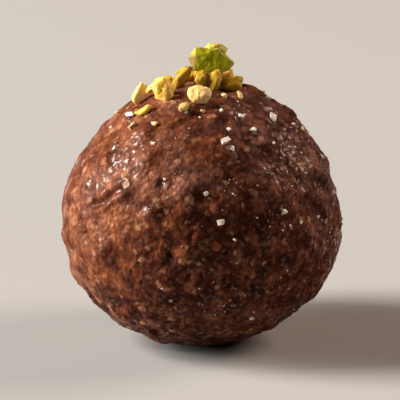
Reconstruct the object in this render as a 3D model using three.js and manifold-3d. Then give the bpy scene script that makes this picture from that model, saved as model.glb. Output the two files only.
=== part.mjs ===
// Chocolate ladoo: a hand-rolled ball of dates, ground nuts and cocoa, crowned with chopped pistachio and
// sprinkled with coarse sugar. The toppings stick to the ball, so the whole sweet is one solid.
// Millimetres, +Z up, origin at the middle of the flat foot that it rests on. Its front faces -Y.
import * as THREE from "three";
import { ConvexGeometry } from "three/addons/geometries/ConvexGeometry.js";
import { mergeVertices } from "three/addons/utils/BufferGeometryUtils.js";
import Module from "manifold-3d";

// Driving dimensions of the ball
const BALL_WIDTH = 40;
const BALL_DEPTH = 39.4;
const BALL_HEIGHT = 38.8;
const SETTLE = 0.7; // how far the soft ball has flattened where it rests
const BALL_RADIUS = BALL_WIDTH / 2;
const BALL_MIDDLE = new THREE.Vector3(0, 0, BALL_HEIGHT / 2 - SETTLE);
const BALL_SPLITS = 18; // the ball starts as twenty triangles, each split into (this + 1) squared
const FOOT_RADIUS = Math.sqrt(BALL_HEIGHT * SETTLE - SETTLE ** 2);
const FOOT_FADE = 6; // width of the ring around the foot where the relief dies away

// Where the palms left the ball flat or full. Bearing is counted from +X towards +Y, lift above the
// horizon.
const PALM_MARKS = [
  { bearing: 168, lift: 37, height: -1.0, spread: 9 },
  { bearing: -5, lift: -20, height: 0.9, spread: 8 },
  { bearing: 12, lift: 24, height: -0.5, spread: 8 },
  { bearing: 215, lift: -25, height: 0.4, spread: 9 },
  { bearing: 275, lift: 8, height: -0.4, spread: 10 },
  { bearing: 80, lift: 15, height: -0.7, spread: 10 },
  { bearing: 120, lift: -30, height: 0.6, spread: 8 },
  { bearing: 45, lift: -12, height: 0.5, spread: 7 },
];

// Nut pieces that push up the skin, and the gaps between them
const LUMPS = { count: 150, radius: [1.7, 3.4], height: [0.15, 0.55], jitter: 0.14, seed: 52361977 };
const PITS = { count: 30, radius: [1.1, 1.9], height: [-0.5, -0.25], jitter: 0.3, seed: 80414233 };

// Short cracks with one raised lip, left by the rolling. The first two are the ones that show in front.
// A negative width puts the lip on the other side.
const CREASES = {
  count: 16, length: [4.5, 8], width: [0.7, 1.1], depth: [0.3, 0.55], slope: [-90, 90], jitter: 0.25,
  seed: 31870429,
};
const FRONT_CREASES = [
  { bearing: 227, lift: 17, slope: 34, length: 8.5, width: -0.65, depth: 0.8 },
  { bearing: 329, lift: 7, slope: -52, length: 6, width: 0.9, depth: 0.5 },
];
const CREASE_BEND = 0.025; // sideways bow of a crease, per millimetre of its length squared
const CREASE_WAVE = 0.12; // sideways wander of a crease, to either side
const CREASE_PITCH = 5; // length of one wander
const LIP_SHARE = 0.45; // height of the raised lip as a share of the crease's depth
const LIP_PLACE = 1.5; // distance of the lip from the crease's middle, in widths

const NUT_POINTS = 16; // hull points of a chopped pistachio
const PALE_POINTS = 30; // and of a rounder piece of peeled nut
const HULL_JITTER = 0.25; // how far hull points stray from an even spread
const HULL_SHORTEST = 0.85; // and the share of the half size that they reach at least

// Chopped nuts of the crown: place on the ball seen from above, height of the piece's middle over the skin,
// length, width and thickness, then turn about the skin's normal and lean. A shaving has a sideways bow.
// A knife cut is given by the bearing and lift it faces and its share of the half size; others are drawn.
const CROWN_NUTS = [
  {
    at: [1.4, -1.5], over: 3.6, size: [8.2, 5.6, 4.6], turn: 6, lean: 14,
    cuts: [[196, 8, 0.66], [40, 45, 0.68], [0, -90, 0.5], [262, 28, 0.3]],
  },
  {
    at: [1.7, -0.7], over: 5.0, size: [4.2, 2.8, 2.6], turn: -6, lean: 12,
    cuts: [[95, 40, 0.6], [170, 20, 0.7]],
  },
  { at: [0.3, -2.8], over: 1.0, size: [2.9, 3.0, 4.2], turn: 30, lean: 8 },
  { at: [2.2, -3.0], over: 1.0, size: [2.7, 2.9, 4.2], turn: -20, lean: -6 },
  { at: [4.5, -2.3], over: 0.9, size: [3.9, 3.2, 3.4], turn: 25, lean: 12 },
  {
    at: [-5.2, -4.8], over: 1.5, size: [4.4, 3.4, 5.0], turn: -32, lean: 8,
    cuts: [[160, 45, 0.62], [250, 48, 0.66], [255, 5, 0.6], [0, 10, 0.75]],
  },
  {
    at: [-2.6, -2.3], over: 1.2, size: [2.4, 5.4, 2.4], turn: 92, lean: -48,
    cuts: [[180, 0, 0.6], [0, 80, 0.6]],
  },
  {
    at: [-8.4, -3.2], over: 1.2, size: [1.3, 2.9, 5.0], turn: 98, lean: 36,
    cuts: [[90, 35, 0.45], [180, 0, 0.6], [270, -20, 0.5]],
  },
  { at: [-8.0, -7.2], over: 0.4, size: [3.4, 1.2, 1.3], turn: 6, lean: 0, bow: 0.2, cuts: [] },
  {
    at: [-0.1, -7.3], over: 1.0, size: [4.3, 3.3, 3.0], turn: -10, lean: 0, points: PALE_POINTS,
    cuts: [[200, -10, 0.75], [250, 40, 0.7], [0, -25, 0.8]],
  },
  {
    at: [-2.2, -9.3], over: 0.4, size: [2.4, 1.5, 1.3], turn: 40, lean: 0, bow: 0.1, points: PALE_POINTS,
    cuts: [],
  },
  { at: [-1.8, 4.2], over: 0.6, size: [5.0, 3.6, 2.4], turn: 34, lean: -8 },
  { at: [3.3, 2.7], over: 0.9, size: [3.9, 3.0, 2.6], turn: -40, lean: 10 },
  { at: [-4.8, 3.2], over: 0.4, size: [3.2, 2.4, 1.8], turn: 70, lean: 0 },
  { at: [0.9, 7.0], over: 0.7, size: [3.2, 2.5, 2.2], turn: 15, lean: 0, points: PALE_POINTS },
  { at: [5.6, 3.8], over: 0.5, size: [2.7, 2.0, 1.8], turn: -65, lean: 0 },
  { at: [-4.4, 6.6], over: 0.4, size: [3.0, 1.4, 1.3], turn: -20, lean: 0, bow: 0.1, cuts: [] },
  { at: [1.3, 0.5], over: 1.2, size: [5.2, 4.4, 4.6], turn: 20, lean: 0 },
  { at: [-1.7, 1.3], over: 0.7, size: [3.4, 2.6, 2.6], turn: -30, lean: 0 },
  { at: [3.6, 6.4], over: 0.5, size: [2.8, 2.2, 1.8], turn: 50, lean: 0 },
  { at: [-7.2, 0.8], over: 0.2, size: [2.6, 1.9, 1.2], turn: 30, lean: 0 },
];
const NUT_CUTS = 3; // drawn cuts, where none are given
const CUT_LIFT = [-50, 70];
const CUT_DEPTH = [0.45, 0.75];
const ANY_TURN = [0, 360];
const NUT_SEED = 64920113;

// Nut crumbs round the crown: the ones in front by place and length, the rest drawn in a ring.
// Width, thickness and height over the skin are shares of a crumb's length.
const FRONT_CRUMBS = [
  [3.5, -5.5, 1.5], [5.8, -5.0, 1.9], [0.4, -9.6, 1.2], [-9.6, -8.6, 1.4], [14.8, -2.7, 1.3],
];
const CRUMBS = {
  count: 9, middle: [-1, 0], reach: [5.5, 12], size: [0.7, 1.5], width: 0.8, thickness: 0.7, over: 0.15,
  points: 8, shortest: 0.5, cuts: 2, lean: [-20, 20], seed: 20457791,
};

// Coarse sugar: the large grains in front by place and length, the rest drawn, thickest towards the top.
// A grain is a block whose corners are chipped to a share of their distance from its middle.
// Width and height over the skin are shares of a grain's length.
const FRONT_SUGAR = [
  [3.6, -13.8, 1.5], [10.5, -6.3, 1.7], [7.7, -10.6, 1.2], [4.5, -14.3, 1.0], [11.8, -15.6, 1.1],
  [0.9, -18.4, 1.0], [3.0, -19.4, 1.3], [-10.0, -6.3, 1.4], [-9.8, -8.8, 1.3], [-6.7, -13.0, 0.8],
  [-5.0, -16.9, 0.7], [4.1, -12.0, 0.9], [17.7, -2.2, 0.9],
];
const SUGAR = {
  count: 110, size: [0.5, 1.1], width: 0.75, over: 0.05, chip: [0.3, 1], lean: [-40, 40], jitter: 0.22,
  seed: 97153301,
};
// Most drawn grains fell on the top, and more on the right than on the left. One stays on where a draw
// from -1 to 1 is below the share plus what the skin's normal has along the drift.
const SUGAR_SHARE = 0.1;
const SUGAR_DRIFT = new THREE.Vector3(0.3, 0, 1);
const SUGAR_CLEAR = 3; // height over the table below which no sugar sticks

const COCOA_BROWN = 0x5a2f1f;
const WELD = 1e-4; // corners closer than this are one
const GOLDEN_ANGLE = Math.PI * (3 - Math.sqrt(5));

const DRAW_STEP = 16807; // the two numbers of the Park-Miller draws
const DRAW_RANGE = 2147483647;

const wasm = await Module();
wasm.setup();

// Park-Miller draws: the same seed always gives the same sweet.
function seededDraw(seed) {
  let state = seed;
  return ([low, high]) => {
    state = (state * DRAW_STEP) % DRAW_RANGE;
    return low + ((high - low) * state) / DRAW_RANGE;
  };
}

// Unit vector at a bearing and a lift, in degrees.
function directionAt(bearing, lift) {
  const around = THREE.MathUtils.degToRad(bearing);
  const up = THREE.MathUtils.degToRad(lift);
  return new THREE.Vector3(Math.cos(up) * Math.cos(around), Math.cos(up) * Math.sin(around), Math.sin(up));
}

// The i-th of count directions spread evenly over a sphere along a golden spiral.
function spiralDirection(i, count) {
  const z = 1 - (2 * i + 1) / count;
  const ring = Math.sqrt(1 - z * z);
  return new THREE.Vector3(ring * Math.cos(i * GOLDEN_ANGLE), ring * Math.sin(i * GOLDEN_ANGLE), z);
}

// Evenly spread directions, each moved off its place by up to jitter.
function scatteredDirections(count, jitter, draw) {
  const off = [-jitter, jitter];
  return Array.from({ length: count }, (_, i) =>
    new THREE.Vector3(draw(off), draw(off), draw(off)).add(spiralDirection(i, count)).normalize(),
  );
}

// Round bumps, or hollows where height is negative.
function makeBumps({ count, radius, height, jitter, seed }) {
  const draw = seededDraw(seed);
  return scatteredDirections(count, jitter, draw).map((direction) => ({
    direction,
    radius: draw(radius),
    height: draw(height),
  }));
}

// A crease's middle, the direction it runs in and the direction across it.
function placeCrease(middle, slope, length, width, depth) {
  const east = new THREE.Vector3(0, 0, 1).cross(middle).normalize();
  const north = middle.clone().cross(east);
  const angle = THREE.MathUtils.degToRad(slope);
  const along = east.multiplyScalar(Math.cos(angle)).addScaledVector(north, Math.sin(angle));
  return { middle, along, across: middle.clone().cross(along), length, width, depth };
}

function makeCreases() {
  const draw = seededDraw(CREASES.seed);
  const front = FRONT_CREASES.map((c) =>
    placeCrease(directionAt(c.bearing, c.lift), c.slope, c.length, c.width, c.depth),
  );
  const others = scatteredDirections(CREASES.count, CREASES.jitter, draw).map((middle) =>
    placeCrease(
      middle,
      draw(CREASES.slope),
      draw(CREASES.length),
      draw(CREASES.width),
      draw(CREASES.depth),
    ),
  );
  return [...front, ...others];
}

const palmMarks = PALM_MARKS.map((m) => ({ ...m, direction: directionAt(m.bearing, m.lift) }));
const bumps = [...makeBumps(LUMPS), ...makeBumps(PITS)];
const creases = makeCreases();

function palmHeight(normal) {
  return palmMarks.reduce((sum, m) => {
    const away = (BALL_RADIUS * normal.distanceTo(m.direction)) / m.spread;
    return sum + m.height * Math.exp(-(away ** 2));
  }, 0);
}

function bumpHeight(normal) {
  return bumps.reduce((sum, b) => {
    const away = (BALL_RADIUS * normal.distanceTo(b.direction)) / b.radius;
    return away < 1 ? sum + b.height * (1 - away ** 2) ** 2 : sum;
  }, 0);
}

function creaseHeight(normal) {
  return creases.reduce((sum, c) => {
    const along = BALL_RADIUS * normal.dot(c.along);
    const reach = 1 - (2 * along / c.length) ** 2;
    if (reach <= 0 || normal.dot(c.middle) < 0) return sum;
    const path = CREASE_BEND * along ** 2 + CREASE_WAVE * Math.sin((2 * Math.PI * along) / CREASE_PITCH);
    const across = (BALL_RADIUS * normal.dot(c.across) - path) / c.width;
    const lip = LIP_SHARE * Math.exp(-((across - LIP_PLACE) ** 2));
    return sum + c.depth * reach * (lip - Math.exp(-(across ** 2)));
  }, 0);
}

// 0 on the foot, 1 outside the ring where the relief dies away.
function reliefShare(normal) {
  if (normal.z > 0) return 1;
  const out = BALL_RADIUS * Math.hypot(normal.x, normal.y);
  return THREE.MathUtils.smoothstep(out, FOOT_RADIUS, FOOT_RADIUS + FOOT_FADE);
}

// Distance of the skin from the ball's middle, in the direction normal.
function skinRadius(normal) {
  const oval = new THREE.Vector3(2 / BALL_WIDTH, 2 / BALL_DEPTH, 2 / BALL_HEIGHT).multiply(normal);
  const relief = palmHeight(normal) + bumpHeight(normal) + creaseHeight(normal);
  return 1 / oval.length() + relief * reliefShare(normal);
}

function skinPoint(normal, over = 0) {
  return normal.clone().multiplyScalar(skinRadius(normal) + over).add(BALL_MIDDLE);
}

// A closed geometry with shared vertices, as a solid to join and cut.
function solidFrom(geometry) {
  const bare = new THREE.BufferGeometry().setAttribute("position", geometry.getAttribute("position"));
  const welded = mergeVertices(geometry.index ? bare.setIndex(geometry.index) : bare, WELD);
  const mesh = new wasm.Mesh({
    numProp: 3,
    vertProperties: welded.getAttribute("position").array,
    triVerts: new Uint32Array(welded.index.array),
  });
  return new wasm.Manifold(mesh);
}

function geometryFrom(solid) {
  const mesh = solid.getMesh();
  const geometry = new THREE.BufferGeometry();
  geometry.setAttribute("position", new THREE.BufferAttribute(mesh.vertProperties, 3));
  geometry.setIndex(new THREE.BufferAttribute(mesh.triVerts, 1));
  geometry.computeVertexNormals();
  return geometry;
}

// The ball with its relief, cut flat where it rests.
function makeBall() {
  const sphere = new THREE.IcosahedronGeometry(1, BALL_SPLITS);
  const position = sphere.getAttribute("position");
  const normal = new THREE.Vector3();
  for (let i = 0; i < position.count; i++) {
    normal.fromBufferAttribute(position, i).normalize();
    position.setXYZ(i, ...skinPoint(normal));
  }
  const table = new THREE.BoxGeometry(2 * BALL_WIDTH, 2 * BALL_WIDTH, BALL_HEIGHT);
  table.translate(0, 0, -BALL_HEIGHT / 2);
  return solidFrom(sphere).subtract(solidFrom(table));
}

// Knife cuts in drawn places.
function drawnCuts(count, draw) {
  return Array.from({ length: count }, () => [draw(ANY_TURN), draw(CUT_LIFT), draw(CUT_DEPTH)]);
}

// An uneven lump of the given length, width and thickness, with flat cuts across it.
function makeLump(size, points, cuts, draw, shortest = HULL_SHORTEST) {
  const corners = scatteredDirections(points, HULL_JITTER, draw).map((corner) => {
    corner.multiplyScalar(draw([shortest, 1]));
    for (const [bearing, lift, depth] of cuts) {
      const facing = directionAt(bearing, lift);
      const past = corner.dot(facing) - depth;
      if (past > 0) corner.addScaledVector(facing, -past);
    }
    return corner.multiply(new THREE.Vector3(...size)).multiplyScalar(0.5);
  });
  return new ConvexGeometry(corners);
}

// Bows a piece sideways, so that its length follows a curve.
function bowSideways(geometry, bow) {
  const position = geometry.getAttribute("position");
  for (let i = 0; i < position.count; i++) {
    position.setY(i, position.getY(i) + bow * position.getX(i) ** 2);
  }
}

// Stands a piece on the skin: its own Z along the normal, turned about it and leant over.
function standOnSkin(geometry, normal, over, turn, lean) {
  const east = new THREE.Vector3(0, 1, 0).cross(normal).normalize();
  const north = normal.clone().cross(east);
  const frame = new THREE.Matrix4().makeBasis(east, north, normal).setPosition(skinPoint(normal, over));
  frame.multiply(new THREE.Matrix4().makeRotationZ(THREE.MathUtils.degToRad(turn)));
  frame.multiply(new THREE.Matrix4().makeRotationX(THREE.MathUtils.degToRad(lean)));
  return solidFrom(geometry.applyMatrix4(frame));
}

// Direction from the ball's middle to a place on its top, seen from above.
function crownDirection(x, y) {
  return new THREE.Vector3(x, y, Math.sqrt(BALL_RADIUS ** 2 - x ** 2 - y ** 2)).normalize();
}

function makeCrownNuts() {
  const draw = seededDraw(NUT_SEED);
  return CROWN_NUTS.map((piece) => {
    const { at, over, size, turn, lean, bow = 0, points = NUT_POINTS } = piece;
    const nut = makeLump(size, points, piece.cuts ?? drawnCuts(NUT_CUTS, draw), draw);
    bowSideways(nut, bow);
    return standOnSkin(nut, crownDirection(...at), over, turn, lean);
  });
}

// Crumbs lie half sunk in the skin.
function makeCrumbs() {
  const draw = seededDraw(CRUMBS.seed);
  const ring = Array.from({ length: CRUMBS.count }, (_, i) => {
    const out = draw(CRUMBS.reach);
    const x = CRUMBS.middle[0] + out * Math.cos(i * GOLDEN_ANGLE);
    const y = CRUMBS.middle[1] + out * Math.sin(i * GOLDEN_ANGLE);
    return [x, y, draw(CRUMBS.size)];
  });
  return [...FRONT_CRUMBS, ...ring].map(([x, y, length]) => {
    const size = [length, length * CRUMBS.width, length * CRUMBS.thickness];
    const crumb = makeLump(size, CRUMBS.points, drawnCuts(CRUMBS.cuts, draw), draw, CRUMBS.shortest);
    const over = length * CRUMBS.over;
    return standOnSkin(crumb, crownDirection(x, y), over, draw(ANY_TURN), draw(CRUMBS.lean));
  });
}

// A broken block of sugar.
function makeBlock(length, draw) {
  const corners = [];
  for (const x of [-1, 1]) {
    for (const y of [-1, 1]) {
      for (const z of [-1, 1]) {
        corners.push(new THREE.Vector3(x * draw(SUGAR.chip), y * draw(SUGAR.chip), z * draw(SUGAR.chip)));
      }
    }
  }
  const half = new THREE.Vector3(1, SUGAR.width, SUGAR.width).multiplyScalar(length / 2);
  return new ConvexGeometry(corners.map((corner) => corner.multiply(half)));
}

// Drawn grains stay where the draw passes their share: nearly all at the top, few underneath.
function makeSugar() {
  const draw = seededDraw(SUGAR.seed);
  const front = FRONT_SUGAR.map(([x, y, length]) => ({ normal: crownDirection(x, y), length }));
  const drawn = scatteredDirections(SUGAR.count, SUGAR.jitter, draw)
    .map((normal) => ({ normal, length: draw(SUGAR.size) }))
    .filter(({ normal }) => draw([-1, 1]) < SUGAR_SHARE + normal.dot(SUGAR_DRIFT))
    .filter(({ normal }) => skinPoint(normal).z > SUGAR_CLEAR);
  return [...front, ...drawn].map(({ normal, length }) => {
    const grain = makeBlock(length, draw);
    return standOnSkin(grain, normal, length * SUGAR.over, draw(ANY_TURN), draw(SUGAR.lean));
  });
}

// The ball and every topping that touches it. A grain that missed the skin has fallen off.
function makeSweet() {
  const toppings = [...makeCrownNuts(), ...makeCrumbs(), ...makeSugar()];
  const joined = toppings.reduce((whole, piece) => whole.add(piece), makeBall());
  return joined.decompose().reduce((largest, body) => (body.volume() > largest.volume() ? body : largest));
}

const ladoo = new THREE.Mesh(
  geometryFrom(makeSweet()),
  new THREE.MeshStandardMaterial({ color: COCOA_BROWN, roughness: 0.55, metalness: 0 }),
);
ladoo.name = "ladoo";

const part = new THREE.Group();
part.add(ladoo);

export default part;
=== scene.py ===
import math

import bmesh
import bpy
import numpy as np
from mathutils import Matrix, Vector, noise
from mathutils.kdtree import KDTree


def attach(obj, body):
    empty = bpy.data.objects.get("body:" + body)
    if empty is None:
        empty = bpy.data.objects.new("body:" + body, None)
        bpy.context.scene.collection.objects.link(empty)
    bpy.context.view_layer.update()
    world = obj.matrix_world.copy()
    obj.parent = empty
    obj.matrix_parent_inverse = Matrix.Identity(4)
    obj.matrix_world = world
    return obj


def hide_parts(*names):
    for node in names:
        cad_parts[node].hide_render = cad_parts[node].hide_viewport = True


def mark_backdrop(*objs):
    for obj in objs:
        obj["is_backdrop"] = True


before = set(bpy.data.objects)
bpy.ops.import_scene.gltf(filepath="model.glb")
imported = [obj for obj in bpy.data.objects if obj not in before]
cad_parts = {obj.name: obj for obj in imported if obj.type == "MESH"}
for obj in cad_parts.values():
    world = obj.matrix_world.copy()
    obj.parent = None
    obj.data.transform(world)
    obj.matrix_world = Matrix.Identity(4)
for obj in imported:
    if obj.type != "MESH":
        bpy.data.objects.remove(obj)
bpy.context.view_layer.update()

# Ball of paste
# Dates, ground nuts and cocoa, worked to a sticky paste and rolled between the palms into a ball.
# The skin keeps the palms' flats, lumps of nut, short cracks, pits and the grain of the ground nuts.

# Lengths are in millimetres and angles in degrees. A bearing goes round from +X, a lift up from level.
MM = 0.001
BALL_WIDTH = 40
BALL_DEPTH = 39.4
BALL_HEIGHT = 38.8
BALL_RADIUS = BALL_WIDTH / 2
# The soft ball sank this far onto its flat foot, and its relief dies away in a ring round that
SETTLE = 0.7
BALL_MIDDLE = np.array([0, 0, BALL_HEIGHT / 2 - SETTLE])
FOOT_RADIUS = math.sqrt(BALL_HEIGHT * SETTLE - SETTLE**2)
FOOT_FADE = 6
# Palm marks: bearing, lift, height and spread
PALM_MARKS = [
    (168, 37, -1.0, 9),
    (-5, -20, 0.9, 8),
    (12, 24, -0.5, 8),
    (215, -25, 0.4, 9),
    (275, 8, -0.4, 10),
    (80, 15, -0.7, 10),
    (120, -30, 0.6, 8),
    (45, -12, 0.5, 7),
]
# Lumps of nut under the skin, and pits where a bit came out
LUMPS = dict(count=150, radius=(1.7, 3.4), height=(0.15, 0.55), jitter=0.14, seed=52361977)
PITS = dict(count=30, radius=(1.1, 1.9), height=(-0.5, -0.25), jitter=0.3, seed=80414233)
# Multiplier and end of the draws, and the turn from one place to the next when places are spread evenly
DRAW_STEP = 16807
DRAW_END = 2147483647
GOLDEN_ANGLE = math.pi * (3 - math.sqrt(5))


def seeded_draw(seed):
    """Draws that a seed fixes, the same as those that place the solid's relief and toppings."""
    state = seed

    def draw(low, high):
        nonlocal state
        state = state * DRAW_STEP % DRAW_END
        return low + (high - low) * state / DRAW_END

    return draw


def direction_at(bearing, lift):
    around, up = math.radians(bearing), math.radians(lift)
    return np.array([math.cos(up) * math.cos(around), math.cos(up) * math.sin(around), math.sin(up)])


def unit(vectors):
    return vectors / np.linalg.norm(vectors, axis=-1, keepdims=True)


def spiral_directions(count):
    """Directions spread evenly over a sphere along a golden spiral."""
    turn = np.arange(count) * GOLDEN_ANGLE
    z = 1 - (2 * np.arange(count) + 1) / count
    ring = np.sqrt(1 - z * z)
    return np.stack([ring * np.cos(turn), ring * np.sin(turn), z], axis=1)


def scattered_directions(count, jitter, draw):
    off = np.array([[draw(-jitter, jitter) for _ in range(3)] for _ in range(count)])
    return unit(spiral_directions(count) + off)


def make_bumps(count, radius, height, jitter, seed):
    draw = seeded_draw(seed)
    return [(d, draw(*radius), draw(*height)) for d in scattered_directions(count, jitter, draw)]


bumps = make_bumps(**LUMPS) + make_bumps(**PITS)

# Creases: bearing, lift, slope, length, width and depth of the two in front, then the drawn ones.
# A negative width puts the raised lip on the other side.
FRONT_CREASES = [(227, 17, 34, 8.5, -0.65, 0.8), (329, 7, -52, 6, 0.9, 0.5)]
CREASES = dict(
    count=16,
    jitter=0.25,
    slope=(-90, 90),
    length=(4.5, 8),
    width=(0.7, 1.1),
    depth=(0.3, 0.55),
    seed=31870429,
)
# How a crease bends and wavers, and its raised lip: height as a share of the depth, and place in widths
CREASE_BEND = 0.025
CREASE_WAVE = 0.12
CREASE_PITCH = 5
LIP_SHARE = 0.45
LIP_PLACE = 1.5


def place_crease(middle, slope, length, width, depth):
    east = unit(np.cross([0, 0, 1], middle))
    north = np.cross(middle, east)
    along = east * math.cos(math.radians(slope)) + north * math.sin(math.radians(slope))
    return middle, along, np.cross(middle, along), length, width, depth


def make_creases(count, jitter, slope, length, width, depth, seed):
    draw = seeded_draw(seed)
    front = [place_crease(direction_at(*c[:2]), *c[2:]) for c in FRONT_CREASES]
    middles = scattered_directions(count, jitter, draw)
    return front + [
        place_crease(m, draw(*slope), draw(*length), draw(*width), draw(*depth)) for m in middles
    ]


creases = make_creases(**CREASES)


def crease_relief(normals):
    relief = np.zeros(len(normals))
    for middle, along_it, across_it, length, width, depth in creases:
        along = BALL_RADIUS * (normals @ along_it)
        reach = np.clip(1 - (2 * along / length) ** 2, 0, None) * (normals @ middle > 0)
        path = CREASE_BEND * along**2 + CREASE_WAVE * np.sin(2 * math.pi * along / CREASE_PITCH)
        across = (BALL_RADIUS * (normals @ across_it) - path) / width
        lip = LIP_SHARE * np.exp(-((across - LIP_PLACE) ** 2))
        relief += depth * reach * (lip - np.exp(-(across**2)))
    return relief


def skin_distance(normals, direction):
    return BALL_RADIUS * np.linalg.norm(normals - direction, axis=1)


def skin_relief(normals):
    relief = crease_relief(normals)
    for bearing, lift, height, spread in PALM_MARKS:
        away = skin_distance(normals, direction_at(bearing, lift)) / spread
        relief += height * np.exp(-(away**2))
    for direction, radius, height in bumps:
        away = skin_distance(normals, direction) / radius
        relief += height * np.clip(1 - away**2, 0, None) ** 2
    return relief


def soft_step(value):
    """0 below 0 and 1 above 1, with a soft rise between."""
    value = np.clip(value, 0, 1)
    return value * value * (3 - 2 * value)


def relief_share(normals):
    """0 on the foot, 1 outside the ring where the relief dies away."""
    out = BALL_RADIUS * np.hypot(normals[:, 0], normals[:, 1])
    return np.where(normals[:, 2] > 0, 1, soft_step((out - FOOT_RADIUS) / FOOT_FADE))


def skin_radius(normals):
    oval = np.linalg.norm(normals * [2 / BALL_WIDTH, 2 / BALL_DEPTH, 2 / BALL_HEIGHT], axis=1)
    return 1 / oval + skin_relief(normals) * relief_share(normals)


def skin_point(normal, over=0.0):
    return normal * (skin_radius(normal[None])[0] + over) + BALL_MIDDLE


# The ball's mesh: each of the twenty triangles of a sphere is split this many times along a side.
# Its map lays them two to a square, with a margin round the square and a gap between the two.
BALL_SPLITS = 96
MAP_COLUMNS = 4
MAP_ROWS = 3
MAP_MARGIN = 0.02
MAP_GAP = 0.03
SAME_POINT_DIGITS = 6


def geodesic(splits):
    """Unit directions, triangles and map of a sphere made of twenty finely split triangles."""
    ball = bmesh.new()
    bmesh.ops.create_icosphere(ball, subdivisions=1, radius=1)
    corners = [np.array([v.co for v in face.verts]) for face in ball.faces]
    ball.free()
    steps = [(i, j) for i in range(splits + 1) for j in range(splits + 1 - i)]
    row = {step: k for k, step in enumerate(steps)}
    up = [(row[i, j], row[i + 1, j], row[i, j + 1]) for i, j in steps if i + j < splits]
    down = [(row[i + 1, j], row[i + 1, j + 1], row[i, j + 1]) for i, j in steps if i + j < splits - 1]
    patch = np.array(up + down)
    share = np.array(steps) / splits
    points, faces, places = [], [], []
    for k, (a, b, c) in enumerate(corners):
        points.append(unit(a + (b - a) * share[:, :1] + (c - a) * share[:, 1:]))
        faces.append(patch + k * len(steps))
        square = np.array([k // 2 % MAP_COLUMNS, k // 2 // MAP_COLUMNS])
        half = share * (1 - MAP_GAP)
        if k % 2 == 1:
            half = 1 - half
        places.append((square + MAP_MARGIN + (1 - 2 * MAP_MARGIN) * half) / [MAP_COLUMNS, MAP_ROWS])
    points, faces, places = np.concatenate(points), np.concatenate(faces), np.concatenate(places)
    rounded = np.round(points, SAME_POINT_DIGITS)
    _, first, shared = np.unique(rounded, axis=0, return_index=True, return_inverse=True)
    return points[first], shared.reshape(-1)[faces], places[faces]


# Grains of ground nut in the paste, coarse and fine: how many, their radius and height, and the share
# of them that shows bare
COARSE_GRAIN = dict(count=900, radius=(0.7, 1.7), height=(0.02, 0.18), bare_share=0.01, seed=13)
FINE_GRAIN = dict(count=12000, radius=(0.25, 0.65), height=(0.02, 0.14), bare_share=0.05, seed=12)
# A grain strays from its even place by a share of the spacing. Its cut sides are skewed by a share of
# their turn, the shortest is this share of the reach, and its blunt top tilts.
GRAIN_STRAY = 0.3
GRAIN_SIDES = 6
GRAIN_SKEW = 0.4
GRAIN_SHORTEST = 0.6
GRAIN_BLUNTNESS = 3
GRAIN_TILT = 0.08
# The sides are counted from this direction, which no grain faces exactly
SIDES_FROM = (0.3, 0.5, 0.81)
MIDDLE_TONE = 0.5


def grain_layer(tree, normals, count, radius, height, bare_share, seed):
    """Cut grains that lie side by side in the paste, the higher one showing where two meet.
    Gives height, a random tone of the grain that shows, and whether it is bare, at each normal."""
    rng = np.random.default_rng(seed)
    stray = GRAIN_STRAY * math.sqrt(4 * math.pi / count)
    middles = unit(spiral_directions(count) + rng.normal(0, stray, (count, 3)))
    radii = rng.uniform(*radius, count) / BALL_RADIUS
    rises = rng.uniform(*height, count)
    tilts = BALL_RADIUS * rng.normal(0, GRAIN_TILT, (count, 3))
    tones = rng.uniform(0, 1, count)
    bares = rng.uniform(0, 1, count) < bare_share
    top, bare = np.zeros(len(normals)), np.zeros(len(normals))
    tone = np.full(len(normals), MIDDLE_TONE)
    grains = zip(middles, radii, rises, tilts, tones, bares)
    for middle, reach, rise, tilt, grain_tone, grain_bare in grains:
        at = np.array([index for _, index, _ in tree.find_range(middle, reach)], int)
        east = unit(np.cross(middle, SIDES_FROM))
        skew = rng.uniform(-GRAIN_SKEW, GRAIN_SKEW, GRAIN_SIDES)
        facing = (np.arange(GRAIN_SIDES) + skew) * 2 * math.pi / GRAIN_SIDES
        outward = np.outer(np.cos(facing), east) + np.outer(np.sin(facing), np.cross(middle, east))
        sides = rng.uniform(GRAIN_SHORTEST, 1, GRAIN_SIDES) * reach
        off = normals[at] - middle
        away = np.max(off @ outward.T / sides, axis=1, initial=0)
        here = rise * (1 - away**GRAIN_BLUNTNESS) + (off @ tilt) * (1 - away)
        higher = here > top[at]
        top[at[higher]] = here[higher]
        tone[at[higher]] = grain_tone
        bare[at[higher]] = grain_bare
    return top, tone, bare


# Shallow wrinkles that the rolling drew out: bearing and lift of their run, size, stretch and height,
# and the depth or height of a crease that leaves none of them
WRINKLE_RUN = (0, 41)
WRINKLE_SIZE = 2.6
WRINKLE_STRETCH = 2.2
WRINKLE_HEIGHT = 0.2
WRINKLE_STOP = 0.2


def wrinkles(normals):
    """Rounded ridges with sharp furrows between them, drawn out along the way that the palms rolled."""
    run = direction_at(*WRINKLE_RUN)
    along = np.outer(normals @ run, run)
    places = (normals - along * (1 - 1 / WRINKLE_STRETCH)) * BALL_RADIUS / WRINKLE_SIZE
    return WRINKLE_HEIGHT * np.array([abs(noise.noise(Vector(p))) for p in places])


def mesh_piece(name, points, faces, material, **values):
    """A piece from points in millimetres, with one number for each point under each given name."""
    mesh = bpy.data.meshes.new(name)
    mesh.from_pydata((np.asarray(points) * MM).tolist(), [], np.asarray(faces).tolist())
    for key, numbers in values.items():
        layer = mesh.attributes.new(key, "FLOAT", "POINT")
        layer.data.foreach_set("value", np.asarray(numbers, np.float32))
    mesh.shade_smooth()
    mesh.materials.append(material)
    piece = bpy.data.objects.new(name, mesh)
    bpy.context.scene.collection.objects.link(piece)
    return piece


def set_inputs(tree, node, inputs):
    """Sets a node's inputs. Each is given a value, or another node's output to link to."""
    for key, value in inputs.items():
        if isinstance(value, bpy.types.NodeSocket):
            tree.links.new(value, node.inputs[key])
        else:
            node.inputs[key].default_value = value


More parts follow.
